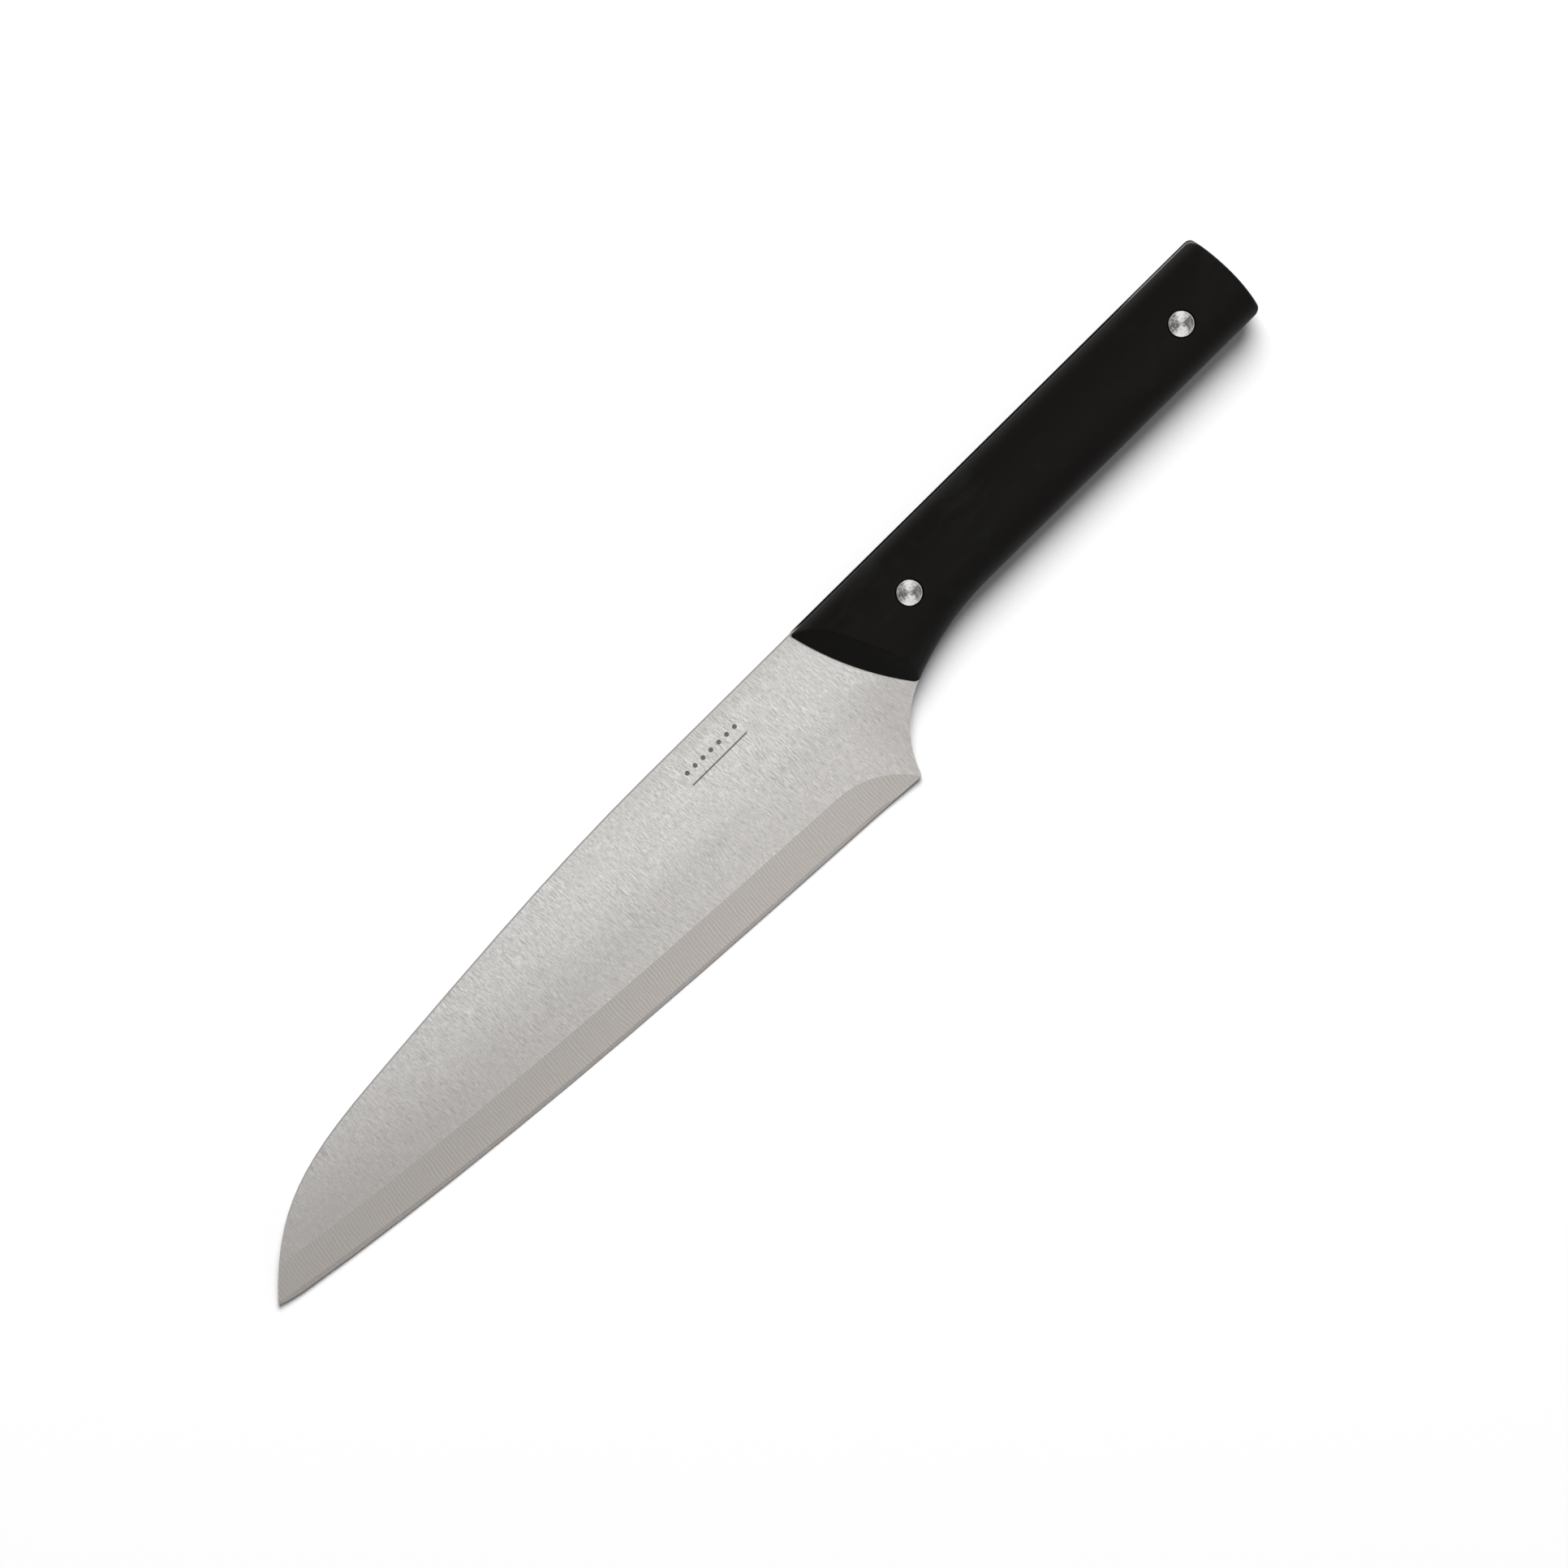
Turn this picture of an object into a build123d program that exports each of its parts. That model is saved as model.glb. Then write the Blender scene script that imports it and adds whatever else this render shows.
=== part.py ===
from build123d import *
import math
import os

# An eight-inch chef's knife: one ground blade with a full tang, two moulded
# handle scales and two press-together cutler's rivets. Millimetres.
#
# Everything is drawn in the knife's own frame and laid down at the end.
# Knife frame: the origin is on the spine line at the front of the handle,
# +X runs to the butt, +Y to the spine, +Z out of the blade's left face.

# ---- driving dimensions: blade ----
STOCK = 2.0                 # sheet thickness of the blade and the tang
TIP_X, TIP_Y = -204.9, -29.4
HEEL_X, HEEL_Y = -1.3, -48.35
HEEL_EASE = 0.35            # the heel's corner is broken by this much
EDGE_RISE = 9.3             # straight part of the edge's rise, heel to tip
EDGE_BELLY = 8.8            # cubic part of the edge's rise, heel to tip
TIP_LIFT_X = -197.0         # from here the outline lifts off that line to the tip
TIP_LIFT_EASE = 4.0         # and follows it for about this long while it does
SPINE_STRAIGHT_X = -50.0    # the spine is straight from here back
SPINE_FALL = ((-106.4, -2.5), (-146.0, -5.8), (-171.0, -9.1), (-190.0, -16.6))
SPINE_TIP_DIRECTION = (-0.67, -0.74)

GRIND_WIDTH = 10.2          # height of the main bevel above the edge, at the heel
GRIND_BELLY = 7.8           # cubic part of the rise of the line along its top
SHOULDER = 0.34             # thickness left behind the cutting edge
GRIND_END_X = -20.0         # the wheel starts to lift off here
GRIND_END_RADIUS = 23.0     # and leaves on this radius
EDGE_ANGLE = 15.0           # half angle of the cutting edge, degrees
EDGE_END_X = -18.0          # the sharpening wheel lifts off here
EDGE_END_RADIUS = 30.0      # and leaves on this radius
APEX_INSET = 0.02           # sharpening takes this much off the outline

# ---- driving dimensions: handle ----
HANDLE_WIDTH = 24.7         # spine to belly along the grip
HANDLE_THICKNESS = 16.0     # over both scales
CROWN_LEAN = 10.0           # a scale's sides lean in by this much, degrees
SPINE_FULLNESS = (0.62, 0.75)   # how square the crown's spine side is, up and across
BELLY_FULLNESS = (0.50, 0.60)
FOOT_TRIM = 0.15            # taken off the crown's foot all round, leaving a low wall
TANG_RELIEF = 0.05          # the tang is thinner than the blade, this much a side,
TANG_STEP_AHEAD = 0.3       # from a step this far ahead of the scales
TANG_RECESS = 0.45          # the tang's spine is below the scales by this much
RECESS_X = (1.0, 5.0)       # it drops to that between these
BUTT_RECESS = 0.12          # and comes back up to this
BUTT_RECESS_X = (104.0, 118.0)
BUTT_X = 138.8
BUTT_RADIUS = 65.0          # plan radius of the butt
BUTT_CORNER = 2.6           # plan radius of its corners
BUTT_ROUND = 0.8            # edge round over the butt
FLARE_X = 44.0              # the belly is straight from here back
FLARE_RADIUS = 76.0         # and swells down on this radius ahead of it
FRONT_TOP = (-0.2, 0.0)     # the front edge of a scale: an arc through these
FRONT_MIDDLE = (4.95, -15.3)
FRONT_BOTTOM_X = 14.2
FRONT_TOP_ROUND = 0.6
FRONT_BOTTOM_ROUND = 1.8
HEEL_CURVE_MIDDLE = (4.7, -37.7)
FACET_LIP = 0.5             # upright lip under the sloping front facet
FACET_SLOPE = 43.0          # the facet's rise, degrees
FACET_HEADING = 25.0        # direction it rises in, up from +X, degrees
RIDGE_ROUND = 0.8           # the ridge between the facet and the crown

# ---- driving dimensions: rivets ----
RIVET_X = {"front": 28.0, "rear": 121.2}
RIVET_Y = -11.9
HEAD_DIAMETER = 6.8
HEAD_THICKNESS = 1.5
HEAD_SINK = 0.15            # the head's face is this far below the crown
HEAD_CHAMFER = 0.25
TUBE_DIAMETER = 4.8
PIN_DIAMETER = 3.0
BORE_FLOOR = 1.0            # solid bottom of the female half's bore, over its head
TUBE_END_GAP = 1.5          # from the tube's end to the other half's head
PIN_END_GAP = 0.5
COUNTERBORE_DIAMETER = 7.15
HOLE_DIAMETER = 4.9

# ---- how the knife lies on a table, right side down ----
REST_ROLL = 12.65           # about +X, the edge going down, degrees
REST_PITCH = 1.0            # about +Y, the tip going down, degrees

# ---- worked out ----
HALF_STOCK = STOCK / 2
HALF_TANG = HALF_STOCK - TANG_RELIEF
EDGE_LENGTH = HEEL_X - TIP_X
GRIND_RISE = (HALF_STOCK - SHOULDER / 2) / GRIND_WIDTH
EDGE_ANGLE_RISE = math.tan(math.radians(EDGE_ANGLE))
CROWN_Z = HANDLE_THICKNESS / 2
CROWN_TOP_Y = -HANDLE_WIDTH / 2
HEAD_FACE_Z = CROWN_Z - HEAD_SINK
SEAT_Z = HEAD_FACE_Z - HEAD_THICKNESS
REACH = 60.0                # how far a trimming tool runs past the work
RUN_ON = 12.0               # how far an outline runs on past where it is trimmed
CUT_START_Z = -0.05         # a grinding cut starts just past the middle plane
LIFT_OFF_SWEEP = 80.0       # the turn of a wheel that lifts off, degrees
FLARE_BAYS = 3              # the flare is lofted over this many bays
RIM_DEPTH = 3.0             # the butt's rim is all within this of the butt
RIM_Z = 2.0                 # and above this height
RIDGE_X, RIDGE_Z = 20.0, 3.0    # the ridge is ahead of this and above this


def post(diameter, low_z, high_z):
    """A round post about the Z axis between two heights."""
    upward = (Align.CENTER, Align.CENTER, Align.MIN)
    return Pos(0, 0, low_z) * Cylinder(diameter / 2, high_z - low_z, align=upward)


def belly_y(x):
    """The handle's belly line: straight along the grip, then an arc downwards."""
    run = max(0.0, FLARE_X - x)
    return -HANDLE_WIDTH - FLARE_RADIUS + math.sqrt(FLARE_RADIUS**2 - run**2)


def edge_slope(x, belly):
    """The slope in plan, at x, of a line that rises like the cutting edge."""
    t = (HEEL_X - x) / EDGE_LENGTH
    return -(EDGE_RISE + 3 * belly * t**2) / EDGE_LENGTH


def edge_line(start_x, end_x, offset=0.0, z=0.0, belly=EDGE_BELLY):
    """A cubic in plan between two stations, offset from the cutting edge in Y."""

    def point(x):
        t = (HEEL_X - x) / EDGE_LENGTH
        return Vector(x, HEEL_Y + EDGE_RISE * t + belly * t**3 + offset, z)

    third = (end_x - start_x) / 3
    start, end = point(start_x), point(end_x)
    return Bezier(
        start,
        start + Vector(third, third * edge_slope(start_x, belly), 0),
        end - Vector(third, third * edge_slope(end_x, belly), 0),
        end,
    )


# ---------------------------------------------------------------- shared lines


def front_arc():
    """The front edge of a scale in plan, run on past the spine and the belly."""
    start, end = FRONT_TOP, (FRONT_BOTTOM_X, belly_y(FRONT_BOTTOM_X))
    arc = ThreePointArc(start, FRONT_MIDDLE, end)
    centre, radius = arc.arc_center, arc.radius
    first = math.degrees(math.atan2(start[1] - centre.Y, start[0] - centre.X))
    last = math.degrees(math.atan2(end[1] - centre.Y, end[0] - centre.X))
    turn = (last - first + 180) % 360 - 180
    extra = math.copysign(math.degrees(RUN_ON / radius), turn)
    return CenterArc(centre, radius, first - extra, turn + 2 * extra)


def ahead_of_front(z):
    """The plane region ahead of the scales' front edge, at height z."""
    arc = Pos(0, 0, z) * front_arc()
    far = -REACH
    top, bottom = arc @ 0, arc @ 1
    sides = Polyline(bottom, (far, bottom.Y, z), (far, top.Y, z), top)
    return make_face(Wire([*arc.edges(), *sides.edges()]))


# ---------------------------------------------------------------- blade


def butt_arc():
    """The butt's arc in plan, run on past the spine and the belly."""
    half = HANDLE_WIDTH / 2 + RUN_ON
    middle_y = -HANDLE_WIDTH / 2
    back = BUTT_X - BUTT_RADIUS + math.sqrt(BUTT_RADIUS**2 - half**2)
    return ThreePointArc((back, middle_y + half), (BUTT_X, middle_y), (back, middle_y - half))


def beyond_butt():
    """What lies behind the butt's arc, as a tall block that trims to it."""
    arc = butt_arc()
    far = BUTT_X + REACH
    sides = Polyline(arc @ 1, (far, (arc @ 1).Y), (far, (arc @ 0).Y), arc @ 0)
    return extrude(make_face(Wire([*arc.edges(), *sides.edges()])), REACH, both=True)


def flare_arc(start_x):
    """The belly's swelling stretch in plan, from start_x back to the grip."""
    middle_x = (start_x + FLARE_X) / 2
    return ThreePointArc(
        (start_x, belly_y(start_x)),
        (middle_x, belly_y(middle_x)),
        (FLARE_X, -HANDLE_WIDTH),
    )


def blade_outline():
    """The blade and tang in plan, with a square-cornered butt."""
    butt_end = BUTT_X + RUN_ON
    spine = Spline(
        (SPINE_STRAIGHT_X, 0),
        *SPINE_FALL,
        (TIP_X, TIP_Y),
        tangents=((-1, 0), SPINE_TIP_DIRECTION),
    )
    edge = edge_line(TIP_LIFT_X, HEEL_X)
    lift = Bezier((TIP_X, TIP_Y), (edge @ 0) - (edge % 0) * TIP_LIFT_EASE, edge @ 0)
    flare = flare_arc(FRONT_BOTTOM_X)
    heel = ThreePointArc((HEEL_X, HEEL_Y), HEEL_CURVE_MIDDLE, flare @ 0)
    rest = Polyline(
        (FLARE_X, -HANDLE_WIDTH),
        (butt_end, -HANDLE_WIDTH),
        (butt_end, -BUTT_RECESS),
        (BUTT_RECESS_X[1], -BUTT_RECESS),
        (BUTT_RECESS_X[0], -TANG_RECESS),
        (RECESS_X[1], -TANG_RECESS),
        (RECESS_X[0], 0),
        (SPINE_STRAIGHT_X, 0),
    )
    lines = (spine, lift, edge, heel, flare, rest)
    return make_face(Wire([piece for line in lines for piece in line.edges()]))


def ground_off(top_offset, top_z, rise, belly, end_x, end_radius):
    """What a grinding wheel takes off the left face: everything outside a
    surface that climbs towards the spine at that rise. At height top_z the
    surface is top_offset in Y from the edge line. From end_x on the wheel
    swings away from the edge line, on end_radius."""
    z = CUT_START_Z
    run = edge_line(TIP_X - RUN_ON, end_x, top_offset - (top_z - z) / rise, z, belly)
    swing = math.atan(edge_slope(end_x, belly))
    centre = (run @ 1) + Vector(math.sin(swing), -math.cos(swing), 0) * end_radius
    lift_off = CenterArc(centre, end_radius, 90 + math.degrees(swing), -LIFT_OFF_SWEEP)
    start, end = run @ 0, lift_off @ 1
    far = HEEL_Y - REACH
    sides = Polyline(end, (end.X, far, z), (start.X, far, z), start)
    region = make_face(Wire([*run.edges(), *lift_off.edges(), *sides.edges()]))
    return extrude(region, REACH / 2, dir=Vector(0, 1, rise).normalized())


def tang_relief():
    """What is ground off the left face of the tang so the scales sit in a step."""
    length, width = BUTT_X + 2 * RUN_ON, HANDLE_WIDTH + 2 * RUN_ON
    block = Pos(BUTT_X / 2, -HANDLE_WIDTH / 2, HALF_TANG) * Box(
        length, width, STOCK, align=(Align.CENTER, Align.CENTER, Align.MIN)
    )
    step = ahead_of_front(0).moved(Pos(-TANG_STEP_AHEAD, 0, 0))
    return block - extrude(step, REACH)


def blade():
    body = extrude(blade_outline(), HALF_STOCK, both=True)
    body -= beyond_butt()
    butt_corners = body.edges().filter_by(Axis.Z).sort_by(Axis.X)[-2:]
    body = fillet(butt_corners, BUTT_CORNER)
    heel_corner = body.edges().filter_by(Axis.Z).sort_by_distance((HEEL_X, HEEL_Y, 0))[0]
    body = chamfer(heel_corner, HEEL_EASE)
    for x in RIVET_X.values():
        body -= Pos(x, RIVET_Y, 0) * post(HOLE_DIAMETER, -STOCK, STOCK)

    main_bevel = ground_off(
        GRIND_WIDTH, HALF_STOCK, GRIND_RISE, GRIND_BELLY, GRIND_END_X, GRIND_END_RADIUS
    )
    cutting_edge = ground_off(APEX_INSET, 0, EDGE_ANGLE_RISE, EDGE_BELLY, EDGE_END_X, EDGE_END_RADIUS)
    for cutter in (tang_relief(), main_bevel, cutting_edge):
        body = body - cutter - mirror(cutter, Plane.XY)
    return body


# ---------------------------------------------------------------- handle


def crown_side(foot_y, fullness):
    """One side of the crown, from its foot on the tang up to the top line."""
    up, across = fullness
    height = CROWN_Z - HALF_TANG
    inwards = math.copysign(math.tan(math.radians(CROWN_LEAN)), CROWN_TOP_Y - foot_y)
    return Bezier(
        (foot_y, HALF_TANG),
        (foot_y + inwards * up * height, HALF_TANG + up * height),
        (CROWN_TOP_Y + (foot_y - CROWN_TOP_Y) * across, CROWN_Z),
        (CROWN_TOP_Y, CROWN_Z),
    )


def scale_section(x):
    """A scale across the handle: flat on the tang, with a full, soft crown.
    Only the belly side widens where the handle flares."""
    spine = crown_side(FOOT_TRIM, SPINE_FULLNESS)
    belly = crown_side(belly_y(x) - FOOT_TRIM, BELLY_FULLNESS)
    flat = Line(belly @ 0, spine @ 0)
    outline = Wire([*spine.edges(), *belly.edges(), *flat.edges()])
    return Plane(origin=(x, 0, 0), x_dir=(0, 1, 0), z_dir=(1, 0, 0)) * make_face(outline)


def facet_cutter():
    """Takes the sloping facet off the front of a scale, down to its lip."""
    rise = math.radians(FACET_SLOPE)
    heading = math.radians(FACET_HEADING)
    along = Vector(
        math.cos(rise) * math.cos(heading),
        math.cos(rise) * math.sin(heading),
        math.sin(rise),
    )
    start = ahead_of_front(HALF_TANG + FACET_LIP).moved(Pos(along * -FACET_LIP))
    return extrude(start, 2 * HANDLE_THICKNESS, dir=along)


def scale_plan():
    """A scale's plan, its corners rounded, as a block taller than the scale."""
    ahead = FRONT_BOTTOM_X - RUN_ON
    flare = flare_arc(ahead)
    back = BUTT_X + RUN_ON
    rest = Polyline(
        (FLARE_X, -HANDLE_WIDTH),
        (back, -HANDLE_WIDTH),
        (back, 0),
        (ahead - RUN_ON, 0),
        flare @ 0,
    )
    block = extrude(make_face(Wire([*flare.edges(), *rest.edges()])), HANDLE_THICKNESS)
    block = block - beyond_butt() - extrude(ahead_of_front(0), REACH)
    block = fillet(block.edges().filter_by(Axis.Z).sort_by(Axis.X)[-2:], BUTT_CORNER)
    front_top = block.edges().filter_by(Axis.Z).sort_by_distance((*FRONT_TOP, CROWN_Z))[0]
    block = fillet(front_top, FRONT_TOP_ROUND)
    corner = (FRONT_BOTTOM_X, belly_y(FRONT_BOTTOM_X), CROWN_Z)
    front_bottom = block.edges().filter_by(Axis.Z).sort_by_distance(corner)[0]
    return fillet(front_bottom, FRONT_BOTTOM_ROUND)


def left_scale():
    plan = scale_plan()
    grip = extrude(scale_section(FLARE_X), REACH * 2, dir=(1, 0, 0)) & plan
    butt_edges = grip.edges().filter_by_position(Axis.X, BUTT_X - RIM_DEPTH, BUTT_X)
    rim = [edge for edge in butt_edges.filter_by(GeomType.BSPLINE) if edge.center().Z > RIM_Z]
    grip = fillet(rim, BUTT_ROUND)
    bay = FLARE_X / FLARE_BAYS
    front = loft([scale_section(bay * i) for i in range(-1, FLARE_BAYS + 1)]) & plan
    front -= facet_cutter()
    ahead = [edge for edge in front.edges() if edge.center().X < RIDGE_X]
    front = fillet([edge for edge in ahead if edge.center().Z > RIDGE_Z], RIDGE_ROUND)
    body = front + grip
    seat = post(HOLE_DIAMETER, 0, HANDLE_THICKNESS) + post(COUNTERBORE_DIAMETER, SEAT_Z, HANDLE_THICKNESS)
    for x in RIVET_X.values():
        body -= Pos(x, RIVET_Y, 0) * seat
    return body


# ---------------------------------------------------------------- rivets


def rivet_head():
    """A turned head, its face up on the plane z = HEAD_FACE_Z."""
    head = post(HEAD_DIAMETER, SEAT_Z, HEAD_FACE_Z)
    rim = head.edges().filter_by(GeomType.CIRCLE).sort_by(Axis.Z)[-1]
    return chamfer(rim, HEAD_CHAMFER)


def rivet_male():
    """Left half: a head on a solid pin."""
    return rivet_head() + post(PIN_DIAMETER, -SEAT_Z + BORE_FLOOR + PIN_END_GAP, SEAT_Z)


def rivet_female():
    """Right half: a head on a tube with a blind bore that grips the pin."""
    tube = post(TUBE_DIAMETER, -SEAT_Z, SEAT_Z - TUBE_END_GAP)
    bore = post(PIN_DIAMETER, -SEAT_Z + BORE_FLOOR, SEAT_Z)
    return mirror(rivet_head(), Plane.XY) + tube - bore


# ---------------------------------------------------------------- assembly


def knife_parts():
    scale = left_scale()
    parts = {
        "blade_with_tang": blade(),
        "left_scale": scale,
        "right_scale": mirror(scale, Plane.XY),
    }
    for place, x in RIVET_X.items():
        parts[f"{place}_rivet_male"] = Pos(x, RIVET_Y, 0) * rivet_male()
        parts[f"{place}_rivet_female"] = Pos(x, RIVET_Y, 0) * rivet_female()
    return parts


def lay_down(parts):
    """Turns the knife to how it lies on a table, and puts the origin on the
    table under the middle of its bounding box."""
    turn = Rot(0, -REST_PITCH, 0) * Rot(REST_ROLL, 0, 0)
    turned = {name: turn * shape for name, shape in parts.items()}
    box = Compound(list(turned.values())).bounding_box(optimal=True)
    middle = (box.min + box.max) / 2
    shift = Pos(-middle.X, -middle.Y, -box.min.Z)
    return {name: shift * shape for name, shape in turned.items()}


def main():
    os.makedirs("parts", exist_ok=True)
    for name, shape in lay_down(knife_parts()).items():
        export_step(shape, f"parts/{name}.step")


main()
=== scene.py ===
import math

import bpy
from mathutils import Euler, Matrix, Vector

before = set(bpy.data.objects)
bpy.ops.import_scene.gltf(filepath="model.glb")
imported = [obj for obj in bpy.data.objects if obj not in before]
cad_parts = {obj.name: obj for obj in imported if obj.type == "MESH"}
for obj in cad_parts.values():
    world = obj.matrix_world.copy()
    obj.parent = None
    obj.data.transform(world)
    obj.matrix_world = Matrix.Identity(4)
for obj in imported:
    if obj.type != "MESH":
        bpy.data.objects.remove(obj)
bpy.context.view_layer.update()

# A chef's knife lying on a white table. Every piece of it is a CAD node. This
# script gives them their materials and the blade its shading, and adds the table,
# the light and the camera.
#
# The materials are drawn in the knife's own frame, in millimetres: the origin is
# on the spine line at the front of the handle, +X runs to the butt, +Y to the
# spine and +Z out of the blade's left face. Bump depths are in metres.

MM = 0.001
ROLL = math.radians(12.65)      # how the knife lies on the table
PITCH = math.radians(-1.0)
BUTT_X = 138.8
HALF_STOCK = 1.0                # half of the blade's thickness
HEEL_X, HEEL_Y = -1.3, -48.35
TIP_X = -204.9
EDGE_LENGTH = HEEL_X - TIP_X
EDGE_RISE, EDGE_BELLY = 9.3, 8.8    # straight and cubic parts of the edge's rise
RIVET_X = {"front": 28.0, "rear": 121.2}
RIVET_Y = -11.9
RIVET_RADIUS = 3.4

FACE_ANGLE = 3.0                # facets of a face blend below this, degrees
WALL_ANGLE = 25.0               # and facets of the walls below this
FACE_LEAN = 0.9                 # a face's normal is at least this close to +Z or -Z


def knife_frame():
    """Where the knife's own frame sits in the row's frame: (location, rotation)."""
    turn = Euler((ROLL, PITCH, 0.0), "XYZ")
    back = turn.to_matrix().transposed()
    points = [back @ v.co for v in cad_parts["blade_with_tang"].data.vertices]
    x = max(p.x for p in points) - BUTT_X * MM
    y = max(p.y for p in points)
    z = (max(p.z for p in points) + min(p.z for p in points)) / 2
    return turn.to_matrix() @ Vector((x, y, z)), turn


ORIGIN, TURN = knife_frame()
AXIS_Y = TURN.to_matrix() @ Vector((0, 1, 0))
AXIS_Z = TURN.to_matrix() @ Vector((0, 0, 1))


def crisp_shading(node):
    """Shades a node so that its ground faces stay flat up to their shallow ridges.
    Neighbouring facets blend only below an angle: a small one on the faces and a
    larger one round the walls. Only the shading changes, not the mesh."""
    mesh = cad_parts[node].data
    mesh.shade_smooth()
    around = {}
    for facet in mesh.polygons:
        for vertex in facet.vertices:
            around.setdefault(vertex, []).append(facet)
    normals = []
    for facet in mesh.polygons:
        on_face = abs(facet.normal.dot(AXIS_Z)) > FACE_LEAN
        limit = math.cos(math.radians(FACE_ANGLE if on_face else WALL_ANGLE))
        for vertex in facet.vertices:
            near = [other for other in around[vertex] if other.normal.dot(facet.normal) > limit]
            total = sum((other.normal * other.area for other in near), Vector())
            normals.append(total.normalized())
    mesh.normals_split_custom_set(normals)


# ---------------------------------------------------------------- node helpers


class Graph:
    """A short way to write a material's nodes."""

    def __init__(self, name):
        self.material = bpy.data.materials.new(name)
        self.material.use_nodes = True
        self.tree = self.material.node_tree
        self.shader = self.tree.nodes["Principled BSDF"]
        self.knife = self.knife_coordinates()

    def put(self, socket, value):
        """Sets an input to a constant, or links it to another node's output."""
        if isinstance(value, bpy.types.NodeSocket):
            self.tree.links.new(value, socket)
        else:
            socket.default_value = value

    def shade(self, **values):
        """Sets the shader's inputs, their names written with underscores."""
        for name, value in values.items():
            self.put(self.shader.inputs[name.replace("_", " ")], value)

    def node(self, kind, inputs=(), out=0, **settings):
        made = self.tree.nodes.new(kind)
        for key, value in settings.items():
            setattr(made, key, value)
        for key, value in dict(inputs).items():
            self.put(made.inputs[key], value)
        return made.outputs[out]

    def knife_coordinates(self):
        """The knife's own frame, in millimetres."""
        local = self.node("ShaderNodeTexCoord", out="Object")
        return self.node(
            "ShaderNodeMapping",
            {"Vector": local, "Location": ORIGIN, "Rotation": TURN, "Scale": (MM, MM, MM)},
            vector_type="TEXTURE",
        )

    def axes(self):
        split = self.tree.nodes.new("ShaderNodeSeparateXYZ")
        self.put(split.inputs[0], self.knife)
        return split.outputs

    def point(self, x, y, z):
        return self.node("ShaderNodeCombineXYZ", {0: x, 1: y, 2: z})

    def scaled(self, x, y, z, vector=None):
        """A stretched frame, so noise comes out long where the factor is small."""
        inputs = {"Vector": vector or self.knife, "Scale": (x, y, z)}
        return self.node("ShaderNodeMapping", inputs, vector_type="POINT")

    def noise(self, vector, detail=4.0, roughness=0.55, distortion=0.0):
        inputs = {
            "Vector": vector,
            "Scale": 1.0,
            "Detail": detail,
            "Roughness": roughness,
            "Distortion": distortion,
        }
        return self.node("ShaderNodeTexNoise", inputs)

    def math(self, operation, a, b=0.0, c=0.0):
        return self.node("ShaderNodeMath", {0: a, 1: b, 2: c}, operation=operation)

    def add(self, a, b):
        return self.math("ADD", a, b)

    def less(self, a, b):
        return self.math("SUBTRACT", a, b)

    def times(self, a, b):
        return self.math("MULTIPLY", a, b)

    def remap(self, value, low, high, to_low=0.0, to_high=1.0, smooth=True):
        inputs = {
            "Value": value,
            "From Min": low,
            "From Max": high,
            "To Min": to_low,
            "To Max": to_high,
        }
        kind = "SMOOTHSTEP" if smooth else "LINEAR"
        return self.node("ShaderNodeMapRange", inputs, interpolation_type=kind)

    def mix(self, factor, a, b):
        made = self.tree.nodes.new("ShaderNodeMix")
        made.data_type = "RGBA"
        self.put(made.inputs[0], factor)
        self.put(made.inputs[6], a)
        self.put(made.inputs[7], b)
        return made.outputs[2]

    def blend(self, factor, a, b):
        return self.node("ShaderNodeMix", {0: factor, 2: a, 3: b}, data_type="FLOAT")

    def bump(self, height, distance, strength, normal=None):
        inputs = {"Height": height, "Distance": distance, "Strength": strength}
        if normal is not None:
            inputs["Normal"] = normal
        return self.node("ShaderNodeBump", inputs)


def grey(value, warmth=0.0):
    """A near grey colour; warmth lifts the red and lowers the blue."""
    return (value * (1 + warmth), value, value * (1 - warmth), 1.0)


# ---------------------------------------------------------------- blade

# Noise is given by its cells for each mm along the blade, across it and through it.
SWAY = (0.05, 0.05, 0.05)
BROAD_FIBRES = (1.5, 0.15, 1.0)
FIBRES = (3.6, 0.34, 1.0)
FINE_FIBRES = (7.5, 0.9, 1.0)
FIBRE_PATCHES = (0.06, 0.08, 1.0)
FIBRE_SWAY = 4.0                # mm that the fibres wander along the blade
FIBRE_SLANT = 0.06              # mm along for each mm across
BROAD_SHARE = 0.4
FIBRE_CONTRAST = 3.0

LINES_PER_MM = 1.08             # grinding lines on the bevel
GRIND_WANDERING = (0.12, 0.03, 1.0)
GRIND_PATCHES = (0.25, 0.1, 1.0)
GRIND_WANDER = 2.5              # mm that the lines wander along the edge
GRIND_CONTRAST = 0.12
GRIND_FLECKS = 0.4

FACE_LEANS = 0.6, 0.8           # cosine between a normal and Z, from none to full
WALL_LEANS = 0.6, 0.3
EDGE_LEANS = 0.992, 0.98
GROUND_DEPTHS = 0.004, 0.02     # mm below the flat where the bevel starts

ORNAMENT_X = -33.5              # middle of the etched row of dots over a line
DOT_Y, DOT_RADIUS, DOT_SPACING, DOT_COUNT = -6.4, 0.62, 2.7, 7
LINE_Y, LINE_HALF_WIDTH, LINE_HALF_LENGTH = -9.6, 0.2, 9.2
ETCH_SOFTNESS = 0.08            # half of the blur along the etched outlines

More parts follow.
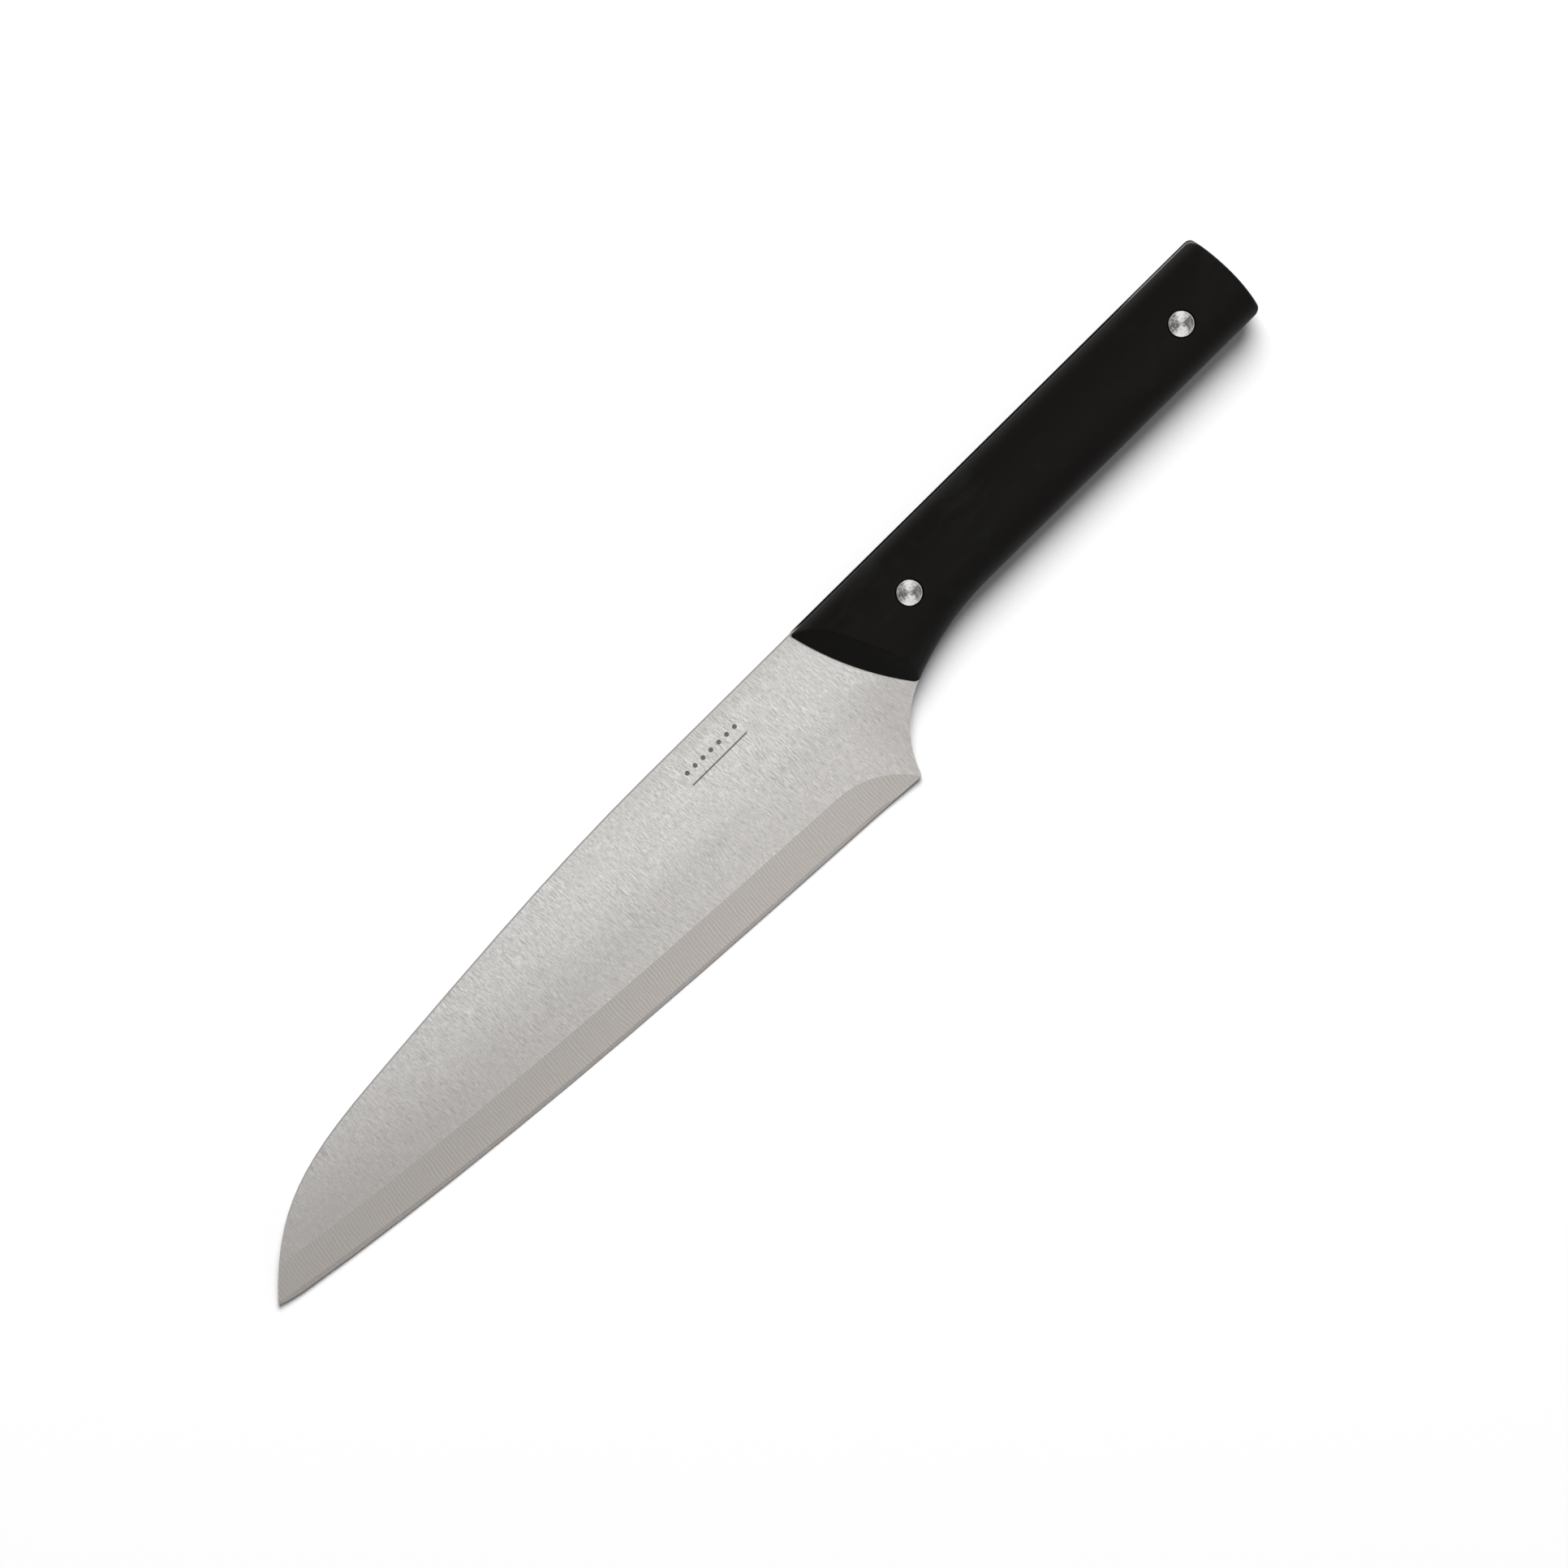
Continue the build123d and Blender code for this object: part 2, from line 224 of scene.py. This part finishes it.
FLAT_TONES = grey(0.46, 0.032), grey(0.93, 0.02)        # darkest and lightest
BEVEL_TONES = grey(0.37, 0.065), grey(0.52, 0.06)
EDGE_TONES = grey(0.44, 0.08), grey(0.56, 0.06)
# Painted shade: darker tones mixed into the flat and the bevel towards the tip, the bevel, the
# heel and, by the handle, the spine.
PAINTED_SHADE_TONE = grey(0.36, 0.06)
PAINTED_SPINE_SHADE_TONE = grey(0.40, 0.05)
WALL_TONE = grey(0.2, 0.03)
ETCHED_TONE = grey(0.075, 0.18)
PAINTED_SHADE_AT_TIP, PAINTED_SHADE_ON_BEVEL_AT_TIP = 0.28, 0.06   # share of painted shade mixed in
PAINTED_SHADE_BY_BEVEL, PAINTED_SHADE_BY_HEEL, PAINTED_SHADE_BY_SPINE = 0.3, 0.22, 0.16
TIP_RAMP = -60, -200                    # mm, where a painted shade starts and where it is full
BEVEL_RAMP = 36, 10
HEEL_RAMP_X, HEEL_RAMP_Y = (-9, 4), (-18, -30)
SPINE_RAMP_X, SPINE_RAMP_Y = (-90, -30), (-4.0, -1.5)

BRUSH_DEPTH, BRUSH_STRENGTH = 0.00002, 0.6
BRUSH_ROUGHNESS = 0.34, 0.42
BRUSH_ANISOTROPY = 0.5
ETCHED_METAL, ETCHED_ROUGHNESS = 0.4, 0.2


def edge_station(g, kx, ky):
    """Height in mm above the line that rises like the cutting edge, and the
    station along it, measured square to the edge."""
    along = g.times(g.less(HEEL_X, kx), 1 / EDGE_LENGTH)
    cubic = g.times(g.math("POWER", along, 3.0), EDGE_BELLY)
    line = g.add(g.math("MULTIPLY_ADD", along, EDGE_RISE, cubic), HEEL_Y)
    above = g.less(ky, line)
    rise = g.math("MULTIPLY_ADD", g.times(along, along), 3 * EDGE_BELLY, EDGE_RISE)
    slope = g.times(rise, 1 / EDGE_LENGTH)
    return above, g.less(kx, g.times(above, slope))


def brushed(g, kx, ky, kz):
    """The flat's finish: short fibres across the blade, gathered in patches.
    Returns its tone, the tone of its fine layer alone, and that layer's noise."""
    sway = g.noise(g.scaled(*SWAY), detail=2)
    slant = g.math("MULTIPLY_ADD", sway, FIBRE_SWAY, g.times(ky, FIBRE_SLANT))
    slanted = g.point(g.add(kx, slant), ky, kz)
    broad = g.noise(g.scaled(*BROAD_FIBRES, slanted), detail=2, roughness=0.5)
    fibre = g.noise(g.scaled(*FIBRES, slanted), detail=3, roughness=0.6)
    fine = g.noise(g.scaled(*FINE_FIBRES, slanted), detail=3, roughness=0.65)
    gathered = g.remap(g.noise(g.scaled(*FIBRE_PATCHES), detail=3), 0.38, 0.68, 0.5, 1.0)
    layers = g.math("MULTIPLY_ADD", g.less(broad, 0.5), BROAD_SHARE, g.less(fibre, 0.5))
    flecks = g.less(fine, 0.5)
    tone = g.times(g.add(g.times(layers, gathered), flecks), FIBRE_CONTRAST)
    return tone, flecks, fine


def ground_lines(g, station, flecks):
    """The bevel's finish: even grinding lines, square to the edge."""
    wander = g.noise(g.scaled(*GRIND_WANDERING), detail=2)
    turns = g.times(g.math("MULTIPLY_ADD", wander, GRIND_WANDER, station), LINES_PER_MM)
    wave = g.math("SINE", g.times(turns, 2 * math.pi))
    strength = g.remap(g.noise(g.scaled(*GRIND_PATCHES), detail=2), 0.35, 0.65, 0.4, 1.0)
    lines = g.times(wave, strength)
    return g.math("MULTIPLY_ADD", lines, GRIND_CONTRAST, g.times(flecks, GRIND_FLECKS))


def ornament(g, kx, ky, kz):
    """A plain etched row of dots over a thin line, on the left face only."""
    across = g.less(kx, ORNAMENT_X)
    reach = g.math("ABSOLUTE", across)
    near = g.math("WRAP", across, DOT_SPACING / 2, -DOT_SPACING / 2)
    up = g.less(ky, DOT_Y)
    from_dot = g.math("SQRT", g.add(g.times(near, near), g.times(up, up)))
    dots = g.remap(from_dot, DOT_RADIUS + ETCH_SOFTNESS, DOT_RADIUS - ETCH_SOFTNESS)
    dots = g.times(dots, g.math("LESS_THAN", reach, DOT_COUNT * DOT_SPACING / 2))
    from_line = g.math("ABSOLUTE", g.less(ky, LINE_Y))
    line = g.remap(from_line, LINE_HALF_WIDTH + ETCH_SOFTNESS, LINE_HALF_WIDTH - ETCH_SOFTNESS)
    line = g.times(line, g.math("LESS_THAN", reach, LINE_HALF_LENGTH))
    etched = g.math("MAXIMUM", dots, line)
    return g.times(etched, g.math("GREATER_THAN", kz, HALF_STOCK / 2))


def blade_regions(g, kz):
    """Where the blade is ground, where it is sharpened and where it is a wall."""
    normal = g.node("ShaderNodeNewGeometry", out="Normal")
    dotted = {0: normal, 1: AXIS_Z}
    lean = g.node("ShaderNodeVectorMath", dotted, out="Value", operation="DOT_PRODUCT")
    lean = g.math("ABSOLUTE", lean)
    depth = g.less(HALF_STOCK, g.math("ABSOLUTE", kz))
    face = g.remap(lean, *FACE_LEANS)
    ground = g.times(g.remap(depth, *GROUND_DEPTHS), face)
    sharpened = g.times(g.remap(lean, *EDGE_LEANS), face)
    return ground, sharpened, g.remap(lean, *WALL_LEANS)


def flat_colour(g, kx, ky, above, tone):
    """The flat, with painted shade towards the tip, the bevel, the heel and, by the handle, the
    spine."""
    flat = g.mix(g.remap(tone, -0.5, 0.5, smooth=False), *FLAT_TONES)
    # Painted shade along the spine by the handle.
    painted_spine_shade = g.remap(ky, *SPINE_RAMP_Y, 0.0, PAINTED_SHADE_BY_SPINE)
    flat = g.mix(g.times(painted_spine_shade, g.remap(kx, *SPINE_RAMP_X)), flat, PAINTED_SPINE_SHADE_TONE)
    painted_tip_shade = g.remap(kx, *TIP_RAMP, 0.0, PAINTED_SHADE_AT_TIP)
    painted_bevel_shade = g.remap(above, *BEVEL_RAMP, 0.0, PAINTED_SHADE_BY_BEVEL)
    painted_heel_shade = g.times(g.remap(kx, *HEEL_RAMP_X, 0.0, PAINTED_SHADE_BY_HEEL), g.remap(ky, *HEEL_RAMP_Y))
    # Painted shade mixed into the flat towards the tip, the bevel and the heel.
    return g.mix(g.add(g.add(painted_tip_shade, painted_bevel_shade), painted_heel_shade), flat, PAINTED_SHADE_TONE)


def bevel_colour(g, kx, ground_tone):
    """The ground bevel, with a little painted shade towards the tip."""
    bevel = g.mix(g.remap(ground_tone, -0.14, 0.14, smooth=False), *BEVEL_TONES)
    return g.mix(g.remap(kx, *TIP_RAMP, 0.0, PAINTED_SHADE_ON_BEVEL_AT_TIP), bevel, PAINTED_SHADE_TONE)


def blade_steel():
    g = Graph("blade_steel")
    kx, ky, kz = g.axes()
    above, station = edge_station(g, kx, ky)
    ground, sharpened, wall = blade_regions(g, kz)
    tone, flecks, fine = brushed(g, kx, ky, kz)
    ground_tone = ground_lines(g, station, flecks)
    surface = g.blend(ground, tone, ground_tone)
    etched = g.times(ornament(g, kx, ky, kz), g.remap(fine, 0.25, 0.75, 0.85, 1.0))

    flat = flat_colour(g, kx, ky, above, tone)
    colour = g.mix(ground, flat, bevel_colour(g, kx, ground_tone))
    colour = g.mix(sharpened, colour, g.mix(g.remap(fine, 0.3, 0.7), *EDGE_TONES))
    colour = g.mix(wall, colour, WALL_TONE)
    colour = g.mix(etched, colour, ETCHED_TONE)
    roughness = g.remap(surface, -0.2, 0.2, *BRUSH_ROUGHNESS)
    g.shade(
        Base_Color=colour,
        Metallic=g.remap(etched, 0.0, 1.0, 1.0, ETCHED_METAL),
        Roughness=g.add(roughness, g.times(etched, ETCHED_ROUGHNESS)),
        Anisotropic=BRUSH_ANISOTROPY,
        Tangent=AXIS_Y,
        Normal=g.bump(surface, BRUSH_DEPTH, BRUSH_STRENGTH),
    )
    return g.material


# ---------------------------------------------------------------- handle

SMUDGES = (0.06, 0.1, 0.1)
WORN_SPOTS = (0.35, 0.5, 0.5)
GRAIN = (9.0, 9.0, 9.0)
CLEAN_PLASTIC = (0.0060, 0.0052, 0.0048, 1)
SMUDGED_PLASTIC = (0.0082, 0.0085, 0.0080, 1)
PLASTIC_ROUGHNESS = 0.42, 0.5
WORN_ROUGHNESS = 0.06
PLASTIC_SPECULAR = 0.07
DIMPLE_DEPTH, DIMPLE_STRENGTH = 0.00001, 0.35
WORN_DEPTH, WORN_STRENGTH = 0.00003, 0.25

PAINTED_SHEEN_ANGLE = math.radians(50.0)    # a rivet's painted highlight diagonal, from +X towards +Y
SCRATCH_ANGLE = math.radians(-7.0)  # and the scratch across it
SCRATCH_DARKNESS = {"front": 0.06, "rear": 0.2}
SCRATCH_SIDES = 0.2, 0.05           # mm from its middle, where it starts and is full
SCRATCH_ENDS = 0.6, 1.4             # mm from the rivet's axis, the same
# The first share is the painted highlight and shade of the conic sheen.
PAINTED_SHEEN_SHARE, RING_SHARE, PIT_SHARE = 0.16, 0.06, 0.14
RING_TURN = 16.0                    # radians of the rings' wave for each mm of radius
RING_WANDERING, RING_WANDER = (0.7, 0.7, 0.7), 0.3
RAYS = 1.6, 1.2                     # noise cells for each radian and each mm of radius
PITS = (2.2, 2.2, 2.2)
RIM_WIDTHS = 0.42, 0.2              # mm in from the edge, where the painted rim highlight starts and is full
# A lighter ring painted round the head's edge as a painted highlight.
RIM_PAINTED_HIGHLIGHT_SHARE = 0.7
RIVET_TONES = grey(0.12, 0.05), grey(0.80, 0.02)
RIM_PAINTED_HIGHLIGHT_TONE = grey(0.84, 0.01)
RIVET_ROUGHNESS = 0.26, 0.36
RIVET_ANISOTROPY = 0.6
RING_DEPTH, RING_STRENGTH = 0.00001, 0.4


def black_scale():
    g = Graph("black_scale")
    smudge = g.noise(g.scaled(*SMUDGES), detail=5, roughness=0.6, distortion=0.6)
    worn = g.noise(g.scaled(*WORN_SPOTS))
    dimples = g.bump(g.noise(g.scaled(*GRAIN), detail=2), DIMPLE_DEPTH, DIMPLE_STRENGTH)
    roughness = g.remap(smudge, 0.3, 0.7, *PLASTIC_ROUGHNESS)
    g.shade(
        Base_Color=g.mix(g.remap(smudge, 0.5, 0.75), CLEAN_PLASTIC, SMUDGED_PLASTIC),
        Roughness=g.add(roughness, g.times(worn, WORN_ROUGHNESS)),
        Specular_IOR_Level=PLASTIC_SPECULAR,
        Normal=g.bump(worn, WORN_DEPTH, WORN_STRENGTH, normal=dimples),
    )
    return g.material


def scratch_line(g, across, up, radius):
    """The scratch across a rivet, which leaves its centre clear."""
    sine, cosine = math.sin(SCRATCH_ANGLE), math.cos(SCRATCH_ANGLE)
    aside = g.math("MULTIPLY_ADD", across, sine, g.times(up, -cosine))
    line = g.remap(g.math("ABSOLUTE", aside), *SCRATCH_SIDES)
    return g.times(line, g.remap(radius, *SCRATCH_ENDS))


def round_the_rivet(g, place):
    """The direction round a rivet's axis, for the highlights of turned steel."""
    centre = ORIGIN + TURN.to_matrix() @ Vector((RIVET_X[place], RIVET_Y, 0)) * MM
    here = g.node("ShaderNodeNewGeometry", out="Position")
    spoke = g.node("ShaderNodeVectorMath", {0: here, 1: centre}, operation="SUBTRACT")
    return g.node("ShaderNodeVectorMath", {0: AXIS_Z, 1: spoke}, operation="CROSS_PRODUCT")


def rivet_steel(place):
    """Turned steel, its rings centred on one rivet, with a painted conic highlight along one
    diagonal and painted shade along the other."""
    g = Graph(f"rivet_steel_{place}")
    kx, ky, _ = g.axes()
    across = g.less(kx, RIVET_X[place])
    up = g.less(ky, RIVET_Y)
    radius = g.math("SQRT", g.add(g.times(across, across), g.times(up, up)))
    angle = g.math("ARCTAN2", up, across)
    wander = g.noise(g.scaled(*RING_WANDERING), detail=2)
    rings = g.math("MULTIPLY_ADD", wander, RING_WANDER, radius)
    rings = g.math("SINE", g.times(rings, RING_TURN))
    polar = g.point(g.times(angle, RAYS[0]), g.times(radius, RAYS[1]), 0.0)
    rays = g.noise(polar, detail=4, roughness=0.65)
    # Painted highlight and shade: a conic sheen, bright along one diagonal and dark along the
    # other.
    painted_sheen = g.math("COSINE", g.times(g.less(angle, PAINTED_SHEEN_ANGLE), 2.0))
    painted_sheen = g.times(painted_sheen, g.remap(radius, 0.0, 1.0))
    pits = g.remap(g.noise(g.scaled(*PITS), detail=3), 0.56, 0.68)
    tone = g.math("MULTIPLY_ADD", painted_sheen, PAINTED_SHEEN_SHARE, rays)
    tone = g.math("MULTIPLY_ADD", rings, RING_SHARE, tone)
    tone = g.math("MULTIPLY_ADD", pits, -PIT_SHARE, tone)
    scratch = scratch_line(g, across, up, radius)
    tone = g.math("MULTIPLY_ADD", scratch, -SCRATCH_DARKNESS[place], tone)
    # The face's tones carry the painted sheen as well as the rings, rays, pits and scratch.
    face = g.mix(g.remap(tone, 0.28, 0.74), *RIVET_TONES)
    # Painted highlight: a lighter ring round the head's edge.
    painted_rim_highlight = g.remap(radius, *(RIVET_RADIUS - width for width in RIM_WIDTHS))
    g.shade(
        Base_Color=g.mix(g.times(painted_rim_highlight, RIM_PAINTED_HIGHLIGHT_SHARE), face, RIM_PAINTED_HIGHLIGHT_TONE),
        Metallic=1.0,
        Roughness=g.remap(rays, 0.3, 0.7, *RIVET_ROUGHNESS),
        Anisotropic=RIVET_ANISOTROPY,
        Normal=g.bump(rings, RING_DEPTH, RING_STRENGTH),
        Tangent=round_the_rivet(g, place),
    )
    return g.material


def give(node, material):
    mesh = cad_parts[node].data
    mesh.materials.clear()
    mesh.materials.append(material)


def give_materials():
    give("blade_with_tang", blade_steel())
    scale = black_scale()
    for side in ("left", "right"):
        give(f"{side}_scale", scale)
    for place in RIVET_X:
        rivet = rivet_steel(place)
        for half in ("male", "female"):
            give(f"{place}_rivet_{half}", rivet)


# ---------------------------------------------------------------- table, light, camera

# Lengths are in metres, in the row's frame. A light's direction is where it comes from.
CAMERA_TURN = math.radians(-44.66)      # the butt points up and to the right
CAMERA_DISTANCE, CAMERA_REACH = 2.5, 100
FRAME_WIDTH = 0.3834                    # what the picture is wide at the knife
AIM = Vector((0.00625, -0.00148, 0.011))
SENSOR = 36.0
PICTURE_UP = Vector((-math.sin(CAMERA_TURN), math.cos(CAMERA_TURN), 0))

TABLE_HALF = 6.0
TABLE_TONE, TABLE_ROUGHNESS, TABLE_SPECULAR = 0.9, 0.9, 0.1

KEY_TILT = 0.76                         # how far the key leans to the picture's top
KEY_TOWARD = PICTURE_UP * KEY_TILT + Vector((0, 0, 1.0))
KEY_DISTANCE, KEY_RADIUS, KEY_RADIANCE = 5.0, 1.75, 10.9
CARD_TOWARD = (0.12, -0.6, 1.0)
CARD_DISTANCE, CARD_RADIUS, CARD_RADIANCE = 1.6, 0.8, 0.92
ROOM_WALL_TURNS = (45, 135, 225, 315)   # degrees round the knife
ROOM_WALL_LIFT = 0.5                    # rise for each unit of distance
ROOM_WALL_DISTANCE, ROOM_WALL_RADIUS, ROOM_WALL_RADIANCE = 2.0, 0.8, 0.8
ROOM_STRENGTH = 0.21


def table():
    mesh = bpy.data.meshes.new("table")
    signs = ((-1, -1), (1, -1), (1, 1), (-1, 1))
    mesh.from_pydata([(x * TABLE_HALF, y * TABLE_HALF, 0) for x, y in signs], [], [(0, 1, 2, 3)])
    plane = bpy.data.objects.new("table", mesh)
    bpy.context.scene.collection.objects.link(plane)
    material = bpy.data.materials.new("white_table")
    material.use_nodes = True
    shader = material.node_tree.nodes["Principled BSDF"]
    shader.inputs["Base Color"].default_value = grey(TABLE_TONE)
    shader.inputs["Roughness"].default_value = TABLE_ROUGHNESS
    shader.inputs["Specular IOR Level"].default_value = TABLE_SPECULAR
    mesh.materials.append(material)


def soft_light(name, toward, distance, radius, radiance):
    """A round softbox facing the knife, given by the brightness of its face."""
    light = bpy.data.lights.new(name, "AREA")
    light.shape = "DISK"
    light.size = 2 * radius
    light.energy = radiance * (math.pi * radius) ** 2
    lamp = bpy.data.objects.new(name, light)
    lamp.location = Vector(toward).normalized() * distance
    lamp.rotation_euler = (-lamp.location).to_track_quat("-Z", "Y").to_euler()
    bpy.context.scene.collection.objects.link(lamp)
    return lamp


def light_only(lamps, name, nodes):
    """Lets these lamps light some of the CAD nodes and nothing else."""
    lit = bpy.data.collections.new(name)
    for node in nodes:
        lit.objects.link(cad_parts[node])
    for lamp in lamps:
        lamp.light_linking.receiver_collection = lit


def lighting():
    """A key from the picture's top that shapes the shadow and that nothing reflects,
    a card above that lights only the knife, and walls that light only its steel."""
    key = soft_light("key", KEY_TOWARD, KEY_DISTANCE, KEY_RADIUS, KEY_RADIANCE)
    key.visible_glossy = False
    card = soft_light("card", CARD_TOWARD, CARD_DISTANCE, CARD_RADIUS, CARD_RADIANCE)
    light_only([card], "knife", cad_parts)
    walls = []
    for turn in ROOM_WALL_TURNS:
        angle = math.radians(turn)
        toward = Vector((math.cos(angle), math.sin(angle), ROOM_WALL_LIFT))
        face = ROOM_WALL_DISTANCE, ROOM_WALL_RADIUS, ROOM_WALL_RADIANCE
        walls.append(soft_light(f"wall_{turn}", toward, *face))
    light_only(walls, "steel", [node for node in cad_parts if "scale" not in node])
    world = bpy.data.worlds.new("room")
    world.use_nodes = True
    background = world.node_tree.nodes["Background"]
    background.inputs["Color"].default_value = (1, 1, 1, 1)
    background.inputs["Strength"].default_value = ROOM_STRENGTH
    bpy.context.scene.world = world
    bpy.context.scene.view_settings.view_transform = "Standard"


def camera():
    data = bpy.data.cameras.new("camera")
    data.sensor_width = SENSOR
    data.lens = SENSOR * CAMERA_DISTANCE / FRAME_WIDTH
    data.clip_end = CAMERA_REACH
    made = bpy.data.objects.new("camera", data)
    made.location = AIM + Vector((0, 0, CAMERA_DISTANCE))
    made.rotation_euler = (0, 0, CAMERA_TURN)
    bpy.context.scene.collection.objects.link(made)
    bpy.context.scene.camera = made


crisp_shading("blade_with_tang")
give_materials()
table()
lighting()
camera()
